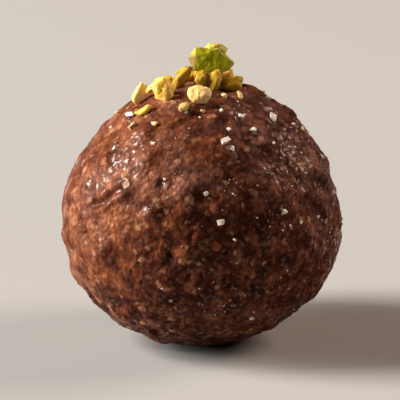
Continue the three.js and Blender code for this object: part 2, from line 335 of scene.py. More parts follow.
def add_node(tree, kind, inputs=None, **settings):
    """A node with its settings and inputs."""
    node = tree.nodes.new(kind)
    for key, value in settings.items():
        setattr(node, key, value)
    set_inputs(tree, node, inputs or {})
    return node


def new_material(name):
    """A material with a bare Principled shader. Gives the material, its tree and the shader."""
    material = bpy.data.materials.new(name)
    material.use_nodes = True
    tree = material.node_tree
    return material, tree, tree.nodes["Principled BSDF"]


def colour_ramp(tree, value, stops):
    ramp = add_node(tree, "ShaderNodeValToRGB", {"Fac": value})
    elements = ramp.color_ramp.elements
    while len(elements) < len(stops):
        elements.new(1)
    for element, (place, colour) in zip(elements, stops):
        element.position = place
        element.color = (*colour, 1)
    return ramp.outputs["Color"]


def value_between(tree, value, ends, given=(0, 1)):
    """Maps a value from the given range to the one between two ends, and holds it at the ends."""
    ranges = {"From Min": given[0], "From Max": given[1], "To Min": ends[0], "To Max": ends[1]}
    return add_node(tree, "ShaderNodeMapRange", {"Value": value, **ranges}).outputs["Result"]


def mix_colours(tree, share, first, second, how="MIX"):
    node = add_node(tree, "ShaderNodeMix", {"Factor": share}, data_type="RGBA", blend_type=how)
    for socket, colour in zip([s for s in node.inputs if s.type == "RGBA"], (first, second)):
        if isinstance(colour, bpy.types.NodeSocket):
            tree.links.new(colour, socket)
        else:
            socket.default_value = (*colour, 1)
    return next(s for s in node.outputs if s.type == "RGBA")


def calculate(tree, how, first, second):
    return add_node(tree, "ShaderNodeMath", {0: first, 1: second}, operation=how).outputs["Value"]


def point_value(tree, name):
    return add_node(tree, "ShaderNodeAttribute", attribute_name=name).outputs["Fac"]


def place_on_piece(tree):
    return add_node(tree, "ShaderNodeTexCoord").outputs["Object"]


def cloudy(tree, per_metre, detail=4.0, roughness=0.5):
    """Cloudy noise of 0 to 1, with so many clouds per metre."""
    place = place_on_piece(tree)
    inputs = {"Vector": place, "Scale": per_metre, "Detail": detail, "Roughness": roughness}
    return add_node(tree, "ShaderNodeTexNoise", inputs).outputs["Fac"]


def raised(tree, height, strength, distance):
    """The normal of a fine relief, with its height in millimetres."""
    inputs = {"Height": height, "Strength": strength, "Distance": distance * MM}
    return add_node(tree, "ShaderNodeBump", inputs).outputs["Normal"]


def make_crumb_group():
    """The mealy crumb of ground and cut nuts: a mask of specks and a height, both at the given size."""
    group = bpy.data.node_groups.new("mealy_crumb", "ShaderNodeTree")
    group.interface.new_socket("Specks per Metre", in_out="INPUT", socket_type="NodeSocketFloat")
    group.interface.new_socket("Specks", in_out="OUTPUT", socket_type="NodeSocketFloat")
    group.interface.new_socket("Height", in_out="OUTPUT", socket_type="NodeSocketFloat")
    per_metre = add_node(group, "NodeGroupInput").outputs["Specks per Metre"]
    specks = cloudy(group, per_metre)
    cells = add_node(group, "ShaderNodeTexVoronoi", {"Vector": place_on_piece(group), "Scale": per_metre})
    height = calculate(group, "SUBTRACT", specks, cells.outputs["Distance"])
    add_node(group, "NodeGroupOutput", {"Specks": specks, "Height": height})
    return group


mealy_crumb = make_crumb_group()


def add_crumb(tree, per_metre):
    """The specks and the height of a mealy crumb with so many specks per metre."""
    node = add_node(tree, "ShaderNodeGroup", {"Specks per Metre": per_metre}, node_tree=mealy_crumb)
    return node.outputs["Specks"], node.outputs["Height"]


# Colours of the paste by tone, from cocoa to nut and from painted shade to painted light, and of the
# grains that show bare
PASTE_TONES = [
    (0.18, (0.036, 0.006, 0.002)),
    (0.34, (0.060, 0.012, 0.005)),
    (0.56, (0.170, 0.048, 0.018)),
    (0.76, (0.380, 0.150, 0.067)),
]
BARE_GRAIN_TONES = [(0.3, (0.32, 0.135, 0.065)), (0.7, (0.52, 0.27, 0.14))]
# Cloudy patches in the tone: how many per metre, the part of the noise they take up, and their share
PATCHES_PER_METRE = 420.0
PATCH_NOISE = (0.28, 0.72)
PATCH_SHARE = 0.35
# A thin, pale film of fat in drifts, partly painted sheen, which adds its colour, and the colour of the
# painted shade in the hollows
FILM_AND_SHEEN_CLOUDS = dict(per_metre=150.0, detail=6.0, roughness=0.65)
FILM_AND_SHEEN_NOISE = (0.44, 0.64)
FILM_AND_SHEEN_COLOUR = (0.12, 0.075, 0.065)
PAINTED_HOLLOW_SHADE_COLOUR = (0.45, 0.35, 0.3)
# Cocoa is dry and nut is oily: roughness at the ends of these tones. Some specks are moist besides.
PASTE_SPECKS_PER_METRE = 1700.0
DRY_TONES = (0.2, 0.6)
DRY_ROUGHNESS = (0.85, 0.28)
MOIST_SPECKS = (0.54, 0.66)
MOIST_COAT = (0, 0.8)


def make_paste():
    material, tree, shader = new_material("date_and_cocoa_paste")
    patches = value_between(tree, cloudy(tree, PATCHES_PER_METRE), (0, 1), PATCH_NOISE)
    tone = mix_colours(tree, PATCH_SHARE, point_value(tree, "tone"), patches)
    specks, height = add_crumb(tree, PASTE_SPECKS_PER_METRE)
    paste = colour_ramp(tree, tone, PASTE_TONES)
    grain = colour_ramp(tree, specks, BARE_GRAIN_TONES)
    colour = mix_colours(tree, point_value(tree, "bare"), paste, grain)
    # Film of fat and painted sheen: a pale colour added on the top, more where the tone is light, so more
    # on the painted lit side
    film_and_sheen = mix_colours(tree, point_value(tree, "film_and_sheen"), colour, FILM_AND_SHEEN_COLOUR, how="ADD")
    drifts = value_between(tree, cloudy(tree, **FILM_AND_SHEEN_CLOUDS), (0, 1), FILM_AND_SHEEN_NOISE)
    colour = mix_colours(tree, calculate(tree, "MULTIPLY", drifts, tone), colour, film_and_sheen)
    # Painted shade: the hollows of the grain and the creases are darkened
    colour = mix_colours(tree, point_value(tree, "painted_hollow_shade"), colour, PAINTED_HOLLOW_SHADE_COLOUR, how="MULTIPLY")
    finish = {
        "Base Color": colour,
        "Roughness": value_between(tree, tone, DRY_ROUGHNESS, DRY_TONES),
        "Coat Weight": value_between(tree, specks, MOIST_COAT, MOIST_SPECKS),
        "Coat Roughness": 0.27,
        "Normal": raised(tree, height, strength=0.6, distance=0.15),
        "Specular IOR Level": 0.11,
        "Specular Tint": (1.0, 0.62, 0.48, 1),
        "Subsurface Weight": 0.1,
        "Subsurface Radius": (1.0, 0.35, 0.15),
        "Subsurface Scale": 0.8 * MM,
    }
    set_inputs(tree, shader, finish)
    return material


# The palms rubbed the grain down in patches, so many to the ball's radius, to a share of its height
RUBBED_PATCHES = 4
RUBBED_SHARE = 0.5
# Bearing, lift and spread of the side that they rubbed smoothest, and the share of the grain it lost
SMOOTH_SIDE = (205, 20)
SMOOTH_SPREAD = 13
SMOOTH_LOSS = 0.6
# Bearing and lift of the side painted lighter as light from the key lamp, with painted shade away from
# it, the cosine of the angle from it where the two are even, and how fast the one gives way to the other
PAINTED_LIGHT_SIDE = (180, 25)
PAINTED_LIGHT_EDGE = 0.35
PAINTED_LIGHT_SLOPE = 1.2
# What a grain adds to the tone, how much less a fine one adds on the painted lit side, and what painted
# light adds
FINE_TONE = 0.45
FINE_TONE_LOSS = 0.18
COARSE_TONE = 0.1
PAINTED_LIGHT_TONE = 0.32
# How bare a bare grain is: at the least, and what its tone adds
BARE_LEAST = 0.2
BARE_TONE = 0.5
# Depths in the grain and in a crease where the painted shade of the hollows is darkest
FULL_SHADE_GRAIN_DEPTH = 0.12
FULL_SHADE_CREASE_DEPTH = 0.45
# The film and its painted sheen start above the middle of the ball and are full further up, as shares of
# the radius
FILM_AND_SHEEN_START = 0.05
FILM_AND_SHEEN_RISE = 0.55


def make_ball():
    normals, faces, places = geodesic(BALL_SPLITS)
    tree = KDTree(len(normals))
    for i, normal in enumerate(normals):
        tree.insert(normal, i)
    tree.balance()
    coarse, coarse_tone, coarse_bare = grain_layer(tree, normals, **COARSE_GRAIN)
    fine, fine_tone, fine_bare = grain_layer(tree, normals, **FINE_GRAIN)
    spared = soft_step(np.array([0.5 + noise.noise(Vector(n) * RUBBED_PATCHES) for n in normals]))
    off_smooth = skin_distance(normals, direction_at(*SMOOTH_SIDE)) / SMOOTH_SPREAD
    left = (RUBBED_SHARE + (1 - RUBBED_SHARE) * spared) * (1 - SMOOTH_LOSS * np.exp(-(off_smooth**2)))
    furrow = crease_relief(normals)
    wrinkled = 1 - soft_step(np.abs(furrow) / WRINKLE_STOP)
    grain = (coarse + fine) * left + wrinkles(normals) * wrinkled
    grain = (grain - grain.mean()) * relief_share(normals)
    points = normals * (skin_radius(normals) + grain)[:, None] + BALL_MIDDLE
    points[:, 2] = np.maximum(points[:, 2], 0)
    # Painted light and shade: the tone is raised on the side toward the key lamp and lowered away from it
    painted_light = soft_step(0.5 + PAINTED_LIGHT_SLOPE * (normals @ direction_at(*PAINTED_LIGHT_SIDE) - PAINTED_LIGHT_EDGE))
    fine_share = FINE_TONE - FINE_TONE_LOSS * painted_light
    values = dict(
        tone=fine_share * fine_tone + COARSE_TONE * coarse_tone + PAINTED_LIGHT_TONE * painted_light,
        bare=np.maximum(fine_bare, coarse_bare) * (BARE_LEAST + BARE_TONE * fine_tone),
        # Painted shade, darkest in the deepest hollows of the grain and the creases
        painted_hollow_shade=soft_step(np.maximum(-grain / FULL_SHADE_GRAIN_DEPTH, -furrow / FULL_SHADE_CREASE_DEPTH)),
        # Film of fat and painted sheen, on the top of the ball
        film_and_sheen=soft_step((normals[:, 2] - FILM_AND_SHEEN_START) / FILM_AND_SHEEN_RISE),
    )
    ball = mesh_piece("ball", points, faces, make_paste(), **values)
    map_layer = ball.data.uv_layers.new(name="OFBake")
    map_layer.uv.foreach_set("vector", places.reshape(-1).astype(np.float32))
    return ball


ball = make_ball()
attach(ball, "root")
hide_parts("ladoo")

# Chopped pistachio
# Kernels cut up with a knife and pressed onto the top of the ball while the paste is still sticky.
# The skin side is green, the cut faces are yellow with pale, slightly crumbled edges.

# Place seen from above, height over the skin, size, turn, lean, bow, cuts and greenness of each piece.
# A cut has the bearing and lift that it faces, its depth, and how pale it is. Below 0 it isn't a cut but
# a side with the kernel's brown skin on. None means drawn cuts. A greenness below 0 means pale nut.
CROWN_NUTS = [
    ((1.4, -1.5), 3.6, (8.2, 5.6, 4.6), 6, 14, 0,
     [(196, 8, 0.66, -1), (40, 45, 0.68, 0.6), (0, -90, 0.5, 0.2), (262, 28, 0.3, 0.0)], 1.0),
    ((1.7, -0.7), 5.0, (4.2, 2.8, 2.6), -6, 12, 0, [(95, 40, 0.6, 0.9), (170, 20, 0.7, 0.8)], 0.8),
    # The three stubs under the big green piece take a middle greenness, whose darker olive-brown is
    # partly painted shade from that piece
    ((0.3, -2.8), 1.0, (2.9, 3.0, 4.2), 30, 8, 0, None, 0.5),
    ((2.2, -3.0), 1.0, (2.7, 2.9, 4.2), -20, -6, 0, None, 0.5),
    ((4.5, -2.3), 0.9, (3.9, 3.2, 3.4), 25, 12, 0, None, 0.4),
    ((-5.2, -4.8), 1.5, (4.4, 3.4, 5.0), -32, 8, 0,
     [(160, 45, 0.62, 1.0), (250, 48, 0.66, 1.0), (255, 5, 0.6, 0.1), (0, 10, 0.75, 0.3)], 0.1),
    ((-2.6, -2.3), 1.2, (2.4, 5.4, 2.4), 92, -48, 0, [(180, 0, 0.6, 0.1), (0, 80, 0.6, 0.2)], 0.4),
    ((-8.4, -3.2), 1.2, (1.3, 2.9, 5.0), 98, 36, 0,
     [(90, 35, 0.45, 0.9), (180, 0, 0.6, 1.0), (270, -20, 0.5, 0.9)], 0.0),
    ((-8.0, -7.2), 0.4, (3.4, 1.2, 1.3), 6, 0, 0.2, [], 0.1),
    ((-0.1, -7.3), 1.0, (4.3, 3.3, 3.0), -10, 0, 0,
     [(200, -10, 0.75, 0.5), (250, 40, 0.7, 0.5), (0, -25, 0.8, 0.5)], -1),
    ((-2.2, -9.3), 0.4, (2.4, 1.5, 1.3), 40, 0, 0.1, [], -1),
    ((-1.8, 4.2), 0.6, (5.0, 3.6, 2.4), 34, -8, 0, None, 0.9),
    ((3.3, 2.7), 0.9, (3.9, 3.0, 2.6), -40, 10, 0, None, 0.25),
    ((-4.8, 3.2), 0.4, (3.2, 2.4, 1.8), 70, 0, 0, None, 0.15),
    ((0.9, 7.0), 0.7, (3.2, 2.5, 2.2), 15, 0, 0, None, -1),
    ((5.6, 3.8), 0.5, (2.7, 2.0, 1.8), -65, 0, 0, None, 0.65),
    ((-4.4, 6.6), 0.4, (3.0, 1.4, 1.3), -20, 0, 0.1, [], 0.1),
    ((1.3, 0.5), 1.2, (5.2, 4.4, 4.6), 20, 0, 0, None, 0.35),
    ((-1.7, 1.3), 0.7, (3.4, 2.6, 2.6), -30, 0, 0, None, 0.15),
    ((3.6, 6.4), 0.5, (2.8, 2.2, 1.8), 50, 0, 0, None, 0.2),
    ((-7.2, 0.8), 0.2, (2.6, 1.9, 1.2), 30, 0, 0, None, 0.05),
]
# Corners of a chopped and of a rounded pale lump, and the passes of smoothing that wear their edges
NUT_POINTS = 16
PALE_POINTS = 30
NUT_WEAR = 3
PALE_WEAR = 14
NUT_SEED = 64920113
NUT_GRID = 0.11
# How far the corners of any lump stray and come in, and its drawn cuts
LUMP_JITTER = 0.25
LUMP_SHORTEST = 0.85
NUT_CUTS = 3
CUT_LIFT = (-50, 70)
CUT_DEPTH = (0.45, 0.75)
# Drawn cuts are only a little pale, which is partly painted shade for the stubs under the big green piece
CUT_PALENESS = 0.25
# A cut's paleness fades over this share of the lump. Pale rims lie along edges that turn this sharply.
CUT_FADE = 0.05
RIM_WIDTH = 0.3
RIM_ANGLE = 28
UNCUT_RIM = 0.3
# Roughness of the surface: size and depth of the coarse and the fine unevenness
ROUGH_SIZE = 0.9
NUT_ROUGH = 0.14
PALE_ROUGH = 0.08
FINE_ROUGH_SIZE = 0.35
FINE_ROUGH = 0.05
# The noise for it: fade, step in size and number of its layers. Each lump reads it this far from the
# last one, so that no two are alike.
ROUGH_LAYERS = (0.9, 2.0, 3)
LUMP_STEP = 50
# One pass of smoothing
WEAR = dict(factor=0.5, use_axis_x=True, use_axis_y=True, use_axis_z=True)


def drawn_cuts(count, draw):
    return [(draw(0, 360), draw(*CUT_LIFT), draw(*CUT_DEPTH), CUT_PALENESS) for _ in range(count)]


def lump_corners(size, count, cuts, draw, shortest=LUMP_SHORTEST):
    """Corners of an uneven lump with flat cuts across it, in its own frame."""
    corners = scattered_directions(count, LUMP_JITTER, draw)
    corners = corners * np.array([[draw(shortest, 1)] for _ in corners])
    for bearing, lift, depth, _ in cuts:
        facing = direction_at(bearing, lift)
        corners = corners - np.clip(corners @ facing - depth, 0, None)[:, None] * facing
    return corners * np.array(size) / 2


def take_shape(shape):
    """Points and triangles of a working mesh, which is then thrown away."""
    shape.verts.index_update()
    points = np.array([v.co for v in shape.verts])
    faces = np.array([[v.index for v in f.verts] for f in shape.faces])
    shape.free()
    return points, faces


def hull(corners):
    """Points and triangles of the convex hull round some corners."""
    shape = bmesh.new()
    made = [shape.verts.new(c) for c in corners]
    bmesh.ops.convex_hull(shape, input=made)
    bmesh.ops.delete(shape, geom=[v for v in shape.verts if not v.link_faces], context="VERTS")
    bmesh.ops.triangulate(shape, faces=shape.faces)
    return take_shape(shape)


def worn_surface(points, faces, grid, passes):
    """Rebuilds a shape as an even, fine skin, and wears its edges by smoothing."""
    mesh = bpy.data.meshes.new("worn")
    mesh.from_pydata(points.tolist(), [], faces.tolist())
    shape = bpy.data.objects.new("worn", mesh)
    bpy.context.scene.collection.objects.link(shape)
    remesh = shape.modifiers.new("remesh", "REMESH")
    remesh.mode = "VOXEL"
    remesh.voxel_size = grid
    even = bpy.data.meshes.new_from_object(shape.evaluated_get(bpy.context.evaluated_depsgraph_get()))
    skin = bmesh.new()
    skin.from_mesh(even)
    bmesh.ops.triangulate(skin, faces=skin.faces)
    for _ in range(passes):
        bmesh.ops.smooth_vert(skin, verts=skin.verts, **WEAR)
    bpy.data.objects.remove(shape)
    bpy.data.meshes.remove(mesh)
    bpy.data.meshes.remove(even)
    return take_shape(skin)


def rim_mask(points, corners, faces):
    """1 along the edges of a hull, where the nearest face meets one that faces elsewhere.
    0 away from them."""
    a, b, c = corners[faces[:, 0]], corners[faces[:, 1]], corners[faces[:, 2]]
    facing = unit(np.cross(b - a, c - a))
    depth = np.abs(np.sum(a * facing, axis=1) - points @ facing.T)
    turned = np.abs(facing[np.argmin(depth, axis=1)] @ facing.T) < math.cos(math.radians(RIM_ANGLE))
    return soft_step(1 - np.where(turned, depth, np.inf).min(axis=1) / RIM_WIDTH)


def roughen(points, number, size, depth):
    """Moves points in and out from the middle of the lump of that number by cloudy noise."""
    places = points + LUMP_STEP * number
    amount = np.array([noise.fractal(Vector(p) / size, *ROUGH_LAYERS) for p in places])
    return points + unit(points) * (depth * amount)[:, None]


def crown_direction(x, y):
    return unit(np.array([x, y, math.sqrt(BALL_RADIUS**2 - x**2 - y**2)]))


def stand_on_skin(points, normal, over, turn, lean):
    """Stands a lump on the skin: its own Z along the normal, turned about it and leant over."""
    east = unit(np.cross([0, 1, 0], normal))
    axes = np.stack([east, np.cross(normal, east), normal], axis=1)
    spin = Matrix.Rotation(math.radians(turn), 3, "Z") @ Matrix.Rotation(math.radians(lean), 3, "X")
    return points @ np.array(spin).T @ axes.T + skin_point(normal, over)


def lump_piece(name, lumps, material):
    """A piece put together from lumps. Each is points, faces and a dict of numbers for its points."""
    points = np.concatenate([p for p, _, _ in lumps])
    starts = np.cumsum([0] + [len(p) for p, _, _ in lumps])
    faces = np.concatenate([f + s for (_, f, _), s in zip(lumps, starts)])
    values = {key: np.concatenate([v[key] for _, _, v in lumps]) for key in lumps[0][2]}
    return mesh_piece(name, points, faces, material, **values)


def make_crown_nuts():
    """Every chopped nut of the crown, as green and yellow pistachio and as pale nut."""
    draw = seeded_draw(NUT_SEED)
    green, pale = [], []
    for k, (at, over, size, turn, lean, bow, cuts, greenness) in enumerate(CROWN_NUTS):
        is_pale = greenness < 0
        cuts = drawn_cuts(NUT_CUTS, draw) if cuts is None else cuts
        corners, sides = hull(lump_corners(size, PALE_POINTS if is_pale else NUT_POINTS, cuts, draw))
        points, faces = worn_surface(corners, sides, NUT_GRID, PALE_WEAR if is_pale else NUT_WEAR)
        rim = rim_mask(points, corners, sides) * max([c[3] for c in cuts], default=UNCUT_RIM)
        cut, brown = np.zeros(len(points)), np.zeros(len(points))
        for bearing, lift, depth, paleness in cuts:
            beyond = (points * 2 / np.array(size)) @ direction_at(bearing, lift) - depth
            on_cut = soft_step(1 + beyond / CUT_FADE)
            cut = np.maximum(cut, paleness * on_cut)
            brown = np.maximum(brown, -paleness * on_cut)
        points = roughen(points, k, ROUGH_SIZE, PALE_ROUGH if is_pale else NUT_ROUGH)
        points = roughen(points, k, FINE_ROUGH_SIZE, FINE_ROUGH)
        points[:, 1] += bow * points[:, 0] ** 2
        points = stand_on_skin(points, crown_direction(*at), over, turn, lean)
        if is_pale:
            pale.append((points, faces, dict(rim=rim)))
        else:
            values = dict(green=np.full(len(points), greenness), cut=cut, brown=brown, rim=rim)
            green.append((points, faces, values))
    return green, pale


# Colours of a kernel's outside from yellow to green, of its cut faces, rims and brown skin
PISTACHIO_TONES = [
    (0.14, (0.82, 0.62, 0.25)),
    (0.23, (0.75, 0.44, 0.04)),
    # The olive-brown middle of the ramp, which the stubs under the big green piece take, is darkened as
    # painted shade from that piece
    (0.40, (0.43, 0.22, 0.008)),
    (0.58, (0.37, 0.26, 0.008)),
    (0.75, (0.42, 0.38, 0.012)),
    (0.90, (0.32, 0.31, 0.008)),
]
PISTACHIO_CUT = (0.82, 0.64, 0.32)
PISTACHIO_RIM = (0.80, 0.62, 0.24)
PISTACHIO_SKIN = (0.20, 0.115, 0.042)
PISTACHIO_RIM_SHARE = 0.6
PISTACHIO_ROUGHNESS = (0.4, 0.65)
# Specks per metre in a chopped nut, and how much of its tone they are
NUT_SPECKS_PER_METRE = 1500.0
SPECK_SHARE = 0.3


def make_pistachio():
    material, tree, shader = new_material("chopped_pistachio")
    specks, height = add_crumb(tree, NUT_SPECKS_PER_METRE)
    ripe = mix_colours(tree, SPECK_SHARE, point_value(tree, "green"), specks)
    colour = colour_ramp(tree, ripe, PISTACHIO_TONES)
    colour = mix_colours(tree, point_value(tree, "cut"), colour, PISTACHIO_CUT)
    rim_share = value_between(tree, point_value(tree, "rim"), (0, PISTACHIO_RIM_SHARE))
    colour = mix_colours(tree, rim_share, colour, PISTACHIO_RIM)
    colour = mix_colours(tree, point_value(tree, "brown"), colour, PISTACHIO_SKIN)
    finish = {
        "Base Color": colour,
        "Roughness": value_between(tree, specks, PISTACHIO_ROUGHNESS),
        "Normal": raised(tree, height, strength=0.4, distance=0.1),
        "Specular IOR Level": 0.2,
        "Specular Tint": (1.0, 0.85, 0.35, 1),
        "Subsurface Weight": 0.35,
        "Subsurface Radius": (1.0, 0.8, 0.2),
        "Subsurface Scale": 0.8 * MM,
    }
    set_inputs(tree, shader, finish)
    return material


green_nuts, pale_nuts = make_crown_nuts()
pistachio = lump_piece("pistachio_pieces", green_nuts, make_pistachio())
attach(pistachio, "root")
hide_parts("ladoo")

# Nut set in the paste
# Bits of roasted nut worked into the paste, which show where the rolling rubbed it off them.
# Their flat faces lie flush with the skin, and some paste is smeared over them.

# Bearing, lift and length of the ones that show in front, the rest drawn
FRONT_SET_NUTS = [(253, 32, 3.0), (282, 32, 2.4), (296, 21, 3.6), (334, -9, 3.0), (202, -12, 3.0)]
SET_NUT_COUNT = 60
SET_NUT_LENGTH = (1.3, 3.2)
SET_NUT_WIDTH_SHARE = (0.6, 0.9)
SET_NUT_THICKNESS = 1.4
SET_NUT_POINTS = 12
SET_NUT_JITTER = 0.2
SET_NUT_SEED = 77310459
# The flat face that shows, as a cut, the number of drawn cuts and the passes of smoothing
SET_NUT_FACE = (0, 90, 0.35, 0)
SET_NUT_CUTS = 2
SET_NUT_WEAR = 1
SET_NUT_ROUGH_SIZE = 0.6
SET_NUT_ROUGH = 0.1
# How deep the middle sits and how far it leans. None lies this near the floor or under the chopped nuts.
SET_NUT_SINK = 0.25
SET_NUT_LEAN = 3
SET_NUT_CLEAR = 2.5
SET_NUT_TOP = 0.75
# Colours of the roasted nut, and of the paste smeared on it in clouds
ROASTED_TONES = [(0.3, (0.24, 0.095, 0.038)), (0.7, (0.42, 0.21, 0.09))]
ROASTED_ROUGHNESS = (0.35, 0.6)
SMEAR_COLOUR = (0.10, 0.028, 0.012)
SMEARS_PER_METRE = 520.0
SMEAR_NOISE = (0.42, 0.6)


def make_set_nuts():
    draw = seeded_draw(SET_NUT_SEED)
    places = [(direction_at(bearing, lift), length) for bearing, lift, length in FRONT_SET_NUTS]
    drawn = scattered_directions(SET_NUT_COUNT, SET_NUT_JITTER, draw)
    places += [(n, draw(*SET_NUT_LENGTH)) for n in drawn]
    nuts = []
    for k, (normal, length) in enumerate(places):
        size = (length, length * draw(*SET_NUT_WIDTH_SHARE), SET_NUT_THICKNESS)
        cuts = [SET_NUT_FACE] + drawn_cuts(SET_NUT_CUTS, draw)
        corners, sides = hull(lump_corners(size, SET_NUT_POINTS, cuts, draw))
        points, faces = worn_surface(corners, sides, NUT_GRID, SET_NUT_WEAR)
        points = roughen(points, k, SET_NUT_ROUGH_SIZE, SET_NUT_ROUGH)
        turn, lean = draw(0, 360), draw(-SET_NUT_LEAN, SET_NUT_LEAN)
        points = stand_on_skin(points, normal, -SET_NUT_SINK, turn, lean)
        if points[:, 2].min() > SET_NUT_CLEAR and normal[2] < SET_NUT_TOP:
            nuts.append((points, faces, {}))
    return nuts


def make_roasted_nut():
    material, tree, shader = new_material("roasted_nut")
    specks, height = add_crumb(tree, NUT_SPECKS_PER_METRE)
    nut = colour_ramp(tree, specks, ROASTED_TONES)
    smeared = value_between(tree, cloudy(tree, SMEARS_PER_METRE), (0, 1), SMEAR_NOISE)
    finish = {
        "Base Color": mix_colours(tree, smeared, nut, SMEAR_COLOUR),
        "Roughness": value_between(tree, specks, ROASTED_ROUGHNESS),
        "Normal": raised(tree, height, strength=0.4, distance=0.1),
        "Subsurface Weight": 0.15,
        "Subsurface Radius": (1.0, 0.5, 0.2),
        "Subsurface Scale": 0.6 * MM,
    }
    set_inputs(tree, shader, finish)
    return material


set_nuts = lump_piece("set_nuts", make_set_nuts(), make_roasted_nut())
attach(set_nuts, "root")
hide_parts("ladoo")

# Pale nut
# Rounded bits and crumbs of peeled nut, cream inside, that came with the pistachio and fell round it.
# They stick to the paste, half sunk in it.

# The crumbs in front by place and length, the rest drawn in a ring. Their shape is length, width and
# thickness as shares of the length.
FRONT_CRUMBS = [
    (3.5, -5.5, 1.5), (5.8, -5.0, 1.9), (0.4, -9.6, 1.2), (-9.6, -8.6, 1.4), (14.8, -2.7, 1.3),
]
CRUMB_COUNT = 9
CRUMB_MIDDLE = (-1, 0)
CRUMB_REACH = (5.5, 12)
CRUMB_LENGTH = (0.7, 1.5)
CRUMB_SHAPE = np.array([1, 0.8, 0.7])
CRUMB_POINTS = 8
CRUMB_SHORTEST = 0.5
CRUMB_CUTS = 2
CRUMB_WEAR = 1
CRUMB_SEED = 20457791
CRUMB_GRID = 0.07
CRUMB_ROUGH_SIZE = 0.45
CRUMB_ROUGH = 0.1
# Height of the middle over the skin as a share of the length, and how far a crumb leans
CRUMB_OVER = 0.15
CRUMB_LEAN = 20
# Colours of the peeled nut and of its worn edges
PALE_NUT_TONES = [
    (0.3, (0.54, 0.31, 0.08)),
    (0.5, (0.69, 0.45, 0.145)),
    (0.7, (0.78, 0.58, 0.25)),
]
PALE_NUT_RIM = (0.82, 0.66, 0.38)
PALE_NUT_RIM_SHARE = 0.3
PALE_NUT_ROUGHNESS = (0.45, 0.7)
PALE_NUT_SPECKS_PER_METRE = 1300.0


def make_crumbs():
    draw = seeded_draw(CRUMB_SEED)
    ring = []
    for i in range(CRUMB_COUNT):
        out = draw(*CRUMB_REACH)
        x = CRUMB_MIDDLE[0] + out * math.cos(i * GOLDEN_ANGLE)
        y = CRUMB_MIDDLE[1] + out * math.sin(i * GOLDEN_ANGLE)
        ring.append((x, y, draw(*CRUMB_LENGTH)))
    crumbs = []
    for k, (x, y, length) in enumerate(FRONT_CRUMBS + ring):
        cuts = drawn_cuts(CRUMB_CUTS, draw)
        corners = lump_corners(length * CRUMB_SHAPE, CRUMB_POINTS, cuts, draw, CRUMB_SHORTEST)
        corners, sides = hull(corners)
        points, faces = worn_surface(corners, sides, CRUMB_GRID, CRUMB_WEAR)
        rim = rim_mask(points, corners, sides)
        points = roughen(points, k, CRUMB_ROUGH_SIZE, CRUMB_ROUGH)
        turn, lean = draw(0, 360), draw(-CRUMB_LEAN, CRUMB_LEAN)
        points = stand_on_skin(points, crown_direction(x, y), length * CRUMB_OVER, turn, lean)
        crumbs.append((points, faces, dict(rim=rim)))
    return crumbs


def make_pale_nut():
    material, tree, shader = new_material("pale_nut")
    specks, height = add_crumb(tree, PALE_NUT_SPECKS_PER_METRE)
    nut = colour_ramp(tree, specks, PALE_NUT_TONES)
    rim_share = value_between(tree, point_value(tree, "rim"), (0, PALE_NUT_RIM_SHARE))
    finish = {
        "Base Color": mix_colours(tree, rim_share, nut, PALE_NUT_RIM),
        "Roughness": value_between(tree, specks, PALE_NUT_ROUGHNESS),
        "Normal": raised(tree, height, strength=0.4, distance=0.1),
        "Specular IOR Level": 0.3,
        "Subsurface Weight": 0.25,
        "Subsurface Radius": (1.0, 0.7, 0.35),
        "Subsurface Scale": 0.5 * MM,
    }
    set_inputs(tree, shader, finish)
    return material


crumbs = lump_piece("pale_nut_crumbs", pale_nuts + make_crumbs(), make_pale_nut())
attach(crumbs, "root")
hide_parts("ladoo")

# Coarse sugar
# White sugar strewn over the finished ball, thickest at the top. The crystals stick by one side.
# Dust of broken crystals lies between the larger grains.

# The large grains in front by place and length, the rest drawn, with their shape as for the crumbs
FRONT_SUGAR = [
    (3.6, -13.8, 1.5), (10.5, -6.3, 1.7), (7.7, -10.6, 1.2), (4.5, -14.3, 1.0), (11.8, -15.6, 1.1),
    (0.9, -18.4, 1.0), (3.0, -19.4, 1.3), (-10.0, -6.3, 1.4), (-9.8, -8.8, 1.3), (-6.7, -13.0, 0.8),
    (-5.0, -16.9, 0.7), (4.1, -12.0, 0.9), (17.7, -2.2, 0.9),
]
SUGAR_COUNT = 110
SUGAR_LENGTH = (0.5, 1.1)
SUGAR_SHAPE = np.array([1, 0.75, 0.75])
SUGAR_CHIP = (0.3, 1)
SUGAR_LEAN = 40
SUGAR_JITTER = 0.22
SUGAR_SEED = 97153301
# A grain stays on by chance, more often higher up and on the right, and not this near the floor
SUGAR_HOLD = 0.1
SUGAR_TO_RIGHT = 0.3
SUGAR_CLEAR = 3
# Dust lies in drifts of about this size, and most of it on the top and the right
DUST_COUNT = 7500
DUST_LENGTH = (0.12, 0.42)
DUST_JITTER = 0.1
DUST_SEED = 45530917
DUST_HOLD = 0.3
DUST_TO_TOP = 0.5
DUST_TO_RIGHT = 0.75
DRIFT_SIZE = 5
DRIFT_EDGE = (-0.1, 0.5)
# Height of a grain's middle over the skin, as a share of its length
SUGAR_OVER = 0.05
DUST_OVER = 0.2
# Most grains are white and a few are clear, so that the paste shows through
CLEAR_SEED = 38117253
CLEAR_POWER = 2
CLEAR_SHARE = 0.75
CLEAR_COLOUR = (0.26, 0.10, 0.055)
SUGAR_TONES = [(0.35, (0.66, 0.56, 0.47)), (0.65, (0.88, 0.83, 0.78))]
SUGAR_ROUGHNESS = (0.2, 0.45)
SUGAR_SPECKS_PER_METRE = 2600.0


def sugar_stays(normal, draw):
    """Whether a grain stays on: nearly always at the top, seldom underneath."""
    return draw(-1, 1) < SUGAR_HOLD + normal[2] + SUGAR_TO_RIGHT * normal[0]


def dust_stays(normal, draw):
    """Whether a speck of dust stays on. It came from the right, so little of it reached the left."""
    return draw(0, 1) < DUST_HOLD + DUST_TO_TOP * normal[2] + DUST_TO_RIGHT * normal[0]


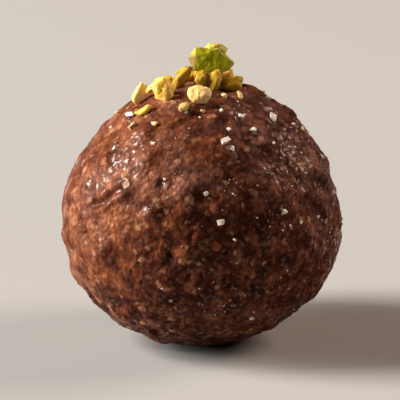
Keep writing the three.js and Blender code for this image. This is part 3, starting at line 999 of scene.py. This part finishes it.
def clear_of_floor(normal):
    return skin_point(normal)[2] > SUGAR_CLEAR


def sugar_grain(normal, length, over, draw):
    """A broken block of sugar, its eight corners chipped by different amounts."""
    block = np.array([(x, y, z) for x in (-1, 1) for y in (-1, 1) for z in (-1, 1)])
    chipped = block * np.array([[draw(*SUGAR_CHIP) for _ in range(3)] for _ in block])
    points, faces = hull(chipped * (length * SUGAR_SHAPE) / 2)
    turn, lean = draw(0, 360), draw(-SUGAR_LEAN, SUGAR_LEAN)
    return stand_on_skin(points, normal, length * over, turn, lean), faces


def make_sugar():
    draw = seeded_draw(SUGAR_SEED)
    grains = [(crown_direction(x, y), length) for x, y, length in FRONT_SUGAR]
    drawn = scattered_directions(SUGAR_COUNT, SUGAR_JITTER, draw)
    drawn = [(n, draw(*SUGAR_LENGTH)) for n in drawn]
    grains += [(n, length) for n, length in drawn if sugar_stays(n, draw) and clear_of_floor(n)]
    made = [sugar_grain(n, length, SUGAR_OVER, draw) for n, length in grains]
    draw = seeded_draw(DUST_SEED)
    for n in scattered_directions(DUST_COUNT, DUST_JITTER, draw):
        length = draw(DUST_LENGTH[0], draw(*DUST_LENGTH))
        in_drift = noise.noise(Vector(n) * BALL_RADIUS / DRIFT_SIZE) > draw(*DRIFT_EDGE)
        if in_drift and dust_stays(n, draw) and clear_of_floor(n):
            made.append(sugar_grain(n, length, DUST_OVER, draw))
    draw = seeded_draw(CLEAR_SEED)
    sugar = []
    for points, faces in made:
        clear = np.full(len(points), draw(0, 1) ** CLEAR_POWER)
        sugar.append((points, faces, dict(clear=clear)))
    return sugar


def make_white_sugar():
    material, tree, shader = new_material("white_sugar")
    specks, height = add_crumb(tree, SUGAR_SPECKS_PER_METRE)
    white = colour_ramp(tree, specks, SUGAR_TONES)
    clear_share = value_between(tree, point_value(tree, "clear"), (0, CLEAR_SHARE))
    finish = {
        "Base Color": mix_colours(tree, clear_share, white, CLEAR_COLOUR),
        "Roughness": value_between(tree, specks, SUGAR_ROUGHNESS),
        "Normal": raised(tree, height, strength=0.3, distance=0.06),
        "Subsurface Weight": 0.3,
        "Subsurface Radius": (1.0, 0.9, 0.8),
        "Subsurface Scale": 0.4 * MM,
    }
    set_inputs(tree, shader, finish)
    return material


sugar = lump_piece("sugar_grains", make_sugar(), make_white_sugar())
sugar.data.shade_flat()
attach(sugar, "root")
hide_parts("ladoo")

# Floor, light and camera
# A matt, pale sheet under the sweet, a tall, soft lamp from the left, and a weak, warm one from the right
# and slightly behind. The camera looks along +Y from a little above.

# Lengths here are in metres, the lens and its sensor in millimetres
FLOOR_SIDE = 6.0
FLOOR_GREY = 0.385
AIM = Vector((0, 0, 0.0205))
# Name, bearing, lift, distance, width, height, power and colour of each lamp
LAMPS = [
    ("key", 180, 25, 1.6, 0.58, 1.44, 87, (1.0, 0.945, 0.86)),
    ("rim", 18, 34, 1.0, 0.5, 0.5, 8.5, (1.0, 0.76, 0.62)),
]
FILL_LIGHT = 0.01
CAMERA_BEARING = -90
CAMERA_LIFT = 15
CAMERA_LENS = 250
SENSOR = 36
PICTURE_WIDTH = 0.058


def make_floor():
    material, tree, shader = new_material("pale_floor")
    grey = (FLOOR_GREY, FLOOR_GREY, FLOOR_GREY, 1)
    set_inputs(tree, shader, {"Base Color": grey, "Roughness": 1.0, "Specular IOR Level": 0.0})
    mesh = bpy.data.meshes.new("floor")
    half = FLOOR_SIDE / 2
    corners = [(-half, -half, 0), (half, -half, 0), (half, half, 0), (-half, half, 0)]
    mesh.from_pydata(corners, [], [(0, 1, 2, 3)])
    mesh.materials.append(material)
    floor = bpy.data.objects.new("floor", mesh)
    bpy.context.scene.collection.objects.link(floor)
    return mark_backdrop(floor)


def aim(holder, bearing, lift, distance):
    """Puts a lamp or the camera at a bearing, lift and distance, turned to the sweet."""
    towards = Vector(direction_at(bearing, lift))
    holder.location = AIM + towards * distance
    holder.rotation_euler = towards.to_track_quat("Z", "Y").to_euler()
    bpy.context.scene.collection.objects.link(holder)


make_floor()
for name, bearing, lift, distance, width, height, power, colour in LAMPS:
    lamp = bpy.data.lights.new(name, "AREA")
    lamp.shape = "RECTANGLE"
    lamp.size = width
    lamp.size_y = height
    lamp.energy = power
    lamp.color = colour
    aim(bpy.data.objects.new(name, lamp), bearing, lift, distance)

world = bpy.data.worlds.new("studio")
world.use_nodes = True
fill = {"Color": (1, 1, 1, 1), "Strength": FILL_LIGHT}
set_inputs(world.node_tree, world.node_tree.nodes["Background"], fill)
bpy.context.scene.world = world

lens = bpy.data.cameras.new("camera")
lens.lens = CAMERA_LENS
lens.sensor_width = SENSOR
camera = bpy.data.objects.new("camera", lens)
aim(camera, CAMERA_BEARING, CAMERA_LIFT, PICTURE_WIDTH * CAMERA_LENS / SENSOR)
bpy.context.scene.camera = camera
bpy.context.scene.view_settings.view_transform = "Standard"
